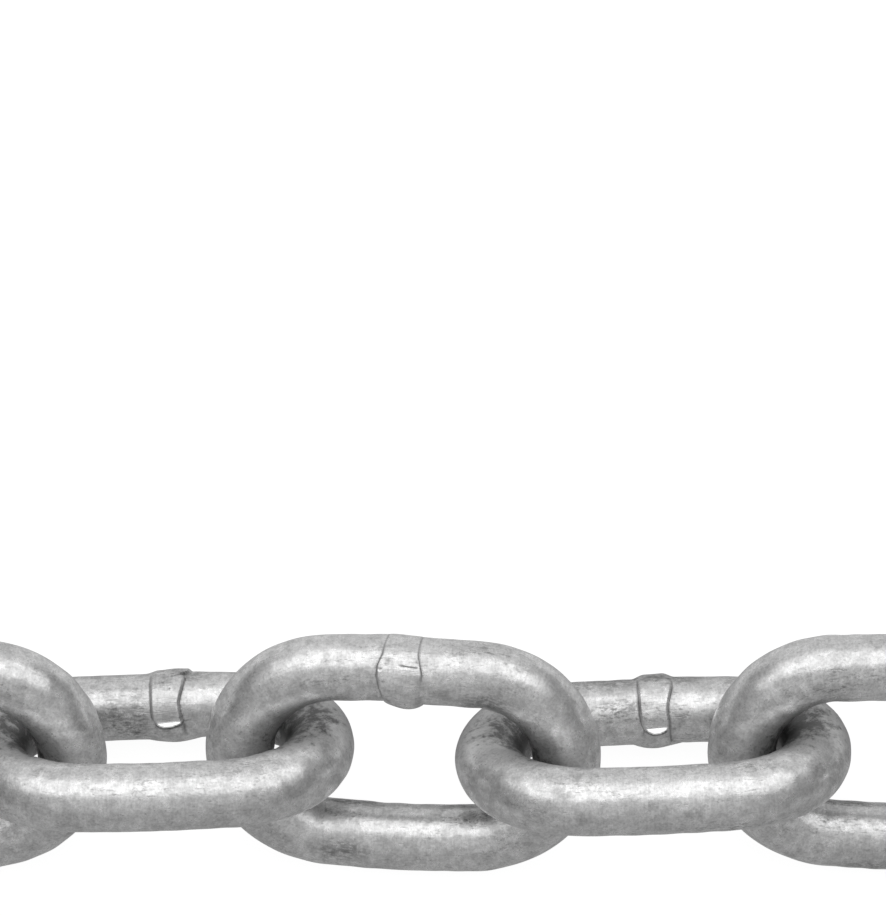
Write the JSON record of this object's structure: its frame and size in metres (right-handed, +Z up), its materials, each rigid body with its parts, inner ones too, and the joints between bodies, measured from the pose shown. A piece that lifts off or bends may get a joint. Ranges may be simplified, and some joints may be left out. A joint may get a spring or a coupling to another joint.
{
  "type": "welded steel link chain",
  "caption": "Short run of galvanised, welded oval steel links, each passed through the next and free to swing in it, laid out straight to rest on a flat floor.",
  "frame": {"origin": "middle of the run's base, on the floor it lies on", "axes": "+X along the chain, +Y to the back, +Z up; every link leans 45 degrees from the floor, by turns to the front and to the back, and lies turned up to 3 degrees from X"},
  "size_m": [0.2958, 0.0214, 0.0206],
  "materials": {
    "galvanised_steel": "hot-dip galvanised, mottled light grey, semi-gloss"
  },
  "bodies": {
    "link_01": {"link_01": "galvanised_steel"},
    "link_02": {"link_02": "galvanised_steel"},
    "link_03": {"link_03": "galvanised_steel"},
    "link_04": {"link_04": "galvanised_steel"},
    "link_05": {"link_05": "galvanised_steel"},
    "link_06": {"link_06": "galvanised_steel"},
    "link_07": {"link_07": "galvanised_steel"},
    "link_08": {"link_08": "galvanised_steel"},
    "link_09": {"link_09": "galvanised_steel"},
    "link_10": {"link_10": "galvanised_steel"},
    "link_11": {"link_11": "galvanised_steel"}
  },
  "joints": [
    {"name": "link_07_swing", "type": "hinge", "parent": "link_06", "child": "link_07", "pos_m": [0.01639, -0.0009, 0.01022], "axis": [0.0358, 0.7062, 0.7071], "range_deg": [-120, 120]},
    {"name": "link_08_swing", "type": "hinge", "parent": "link_07", "child": "link_08", "pos_m": [0.04187, 0.00053, 0.01043], "axis": [-0.0296, 0.7065, -0.7071], "range_deg": [-120, 120]},
    {"name": "link_09_swing", "type": "hinge", "parent": "link_08", "child": "link_09", "pos_m": [0.06766, -0.0004, 0.01022], "axis": [-0.0185, -0.7069, -0.7071], "range_deg": [-120, 120]},
    {"name": "link_10_swing", "type": "hinge", "parent": "link_09", "child": "link_10", "pos_m": [0.09326, 0.00037, 0.01043], "axis": [0.016, -0.7069, 0.7071], "range_deg": [-120, 120]},
    {"name": "link_11_swing", "type": "hinge", "parent": "link_10", "child": "link_11", "pos_m": [0.11894, -0.00054, 0.01022], "axis": [0.0197, 0.7068, 0.7071], "range_deg": [-120, 120]},
    {"name": "link_05_swing", "type": "hinge", "parent": "link_06", "child": "link_05", "pos_m": [-0.01697, 0.00079, 0.01022], "axis": [0.0358, 0.7062, 0.7071], "range_deg": [-120, 120]},
    {"name": "link_04_swing", "type": "hinge", "parent": "link_05", "child": "link_04", "pos_m": [-0.04216, -0.00034, 0.01043], "axis": [-0.0222, 0.7068, -0.7071], "range_deg": [-120, 120]},
    {"name": "link_03_swing", "type": "hinge", "parent": "link_04", "child": "link_03", "pos_m": [-0.06746, -0.00021, 0.01022], "axis": [0, -0.7071, -0.7071], "range_deg": [-120, 120]},
    {"name": "link_02_swing", "type": "hinge", "parent": "link_03", "child": "link_02", "pos_m": [-0.09305, 0.00041, 0.01043], "axis": [-0.0148, -0.707, 0.7071], "range_deg": [-120, 120]},
    {"name": "link_01_swing", "type": "hinge", "parent": "link_02", "child": "link_01", "pos_m": [-0.11865, -0.00045, 0.01022], "axis": [-0.0185, 0.7069, 0.7071], "range_deg": [-120, 120]}
  ]
}
